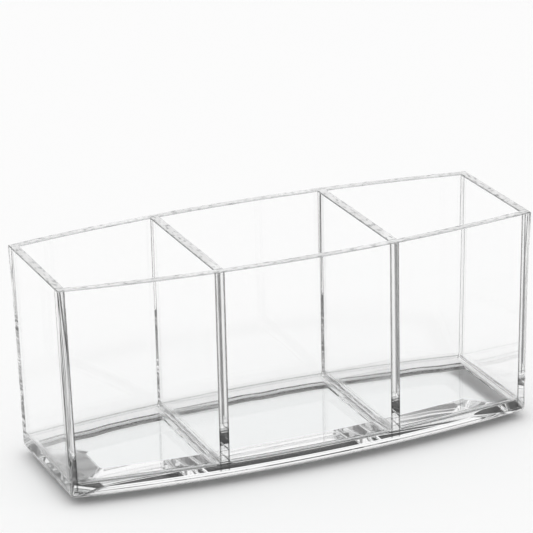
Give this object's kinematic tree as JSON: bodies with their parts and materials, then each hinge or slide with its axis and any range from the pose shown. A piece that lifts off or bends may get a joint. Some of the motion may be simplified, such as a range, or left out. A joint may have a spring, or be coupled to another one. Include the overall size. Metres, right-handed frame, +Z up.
{
  "type": "makeup brush holder",
  "caption": "Clear acrylic makeup brush holder: a long open-topped box with bowed front and back, upright dividers between open compartments and a bevelled base.",
  "frame": {"origin": "centre of the flat pad under the base, at table level", "axes": "+X along the length towards the right end panel, +Y from the front panel towards the back panel, +Z up"},
  "size_m": [0.22, 0.0838, 0.0975],
  "materials": {
    "base_acrylic": "clear, polished",
    "panel_acrylic": "clear, polished",
    "divider_acrylic": "clear, polished"
  },
  "bodies": {
    "root": {"base": "base_acrylic", "front_panel": "panel_acrylic", "back_panel": "panel_acrylic", "left_end_panel": "panel_acrylic", "right_end_panel": "panel_acrylic", "left_divider": "divider_acrylic", "right_divider": "divider_acrylic"}
  },
  "joints": []
}
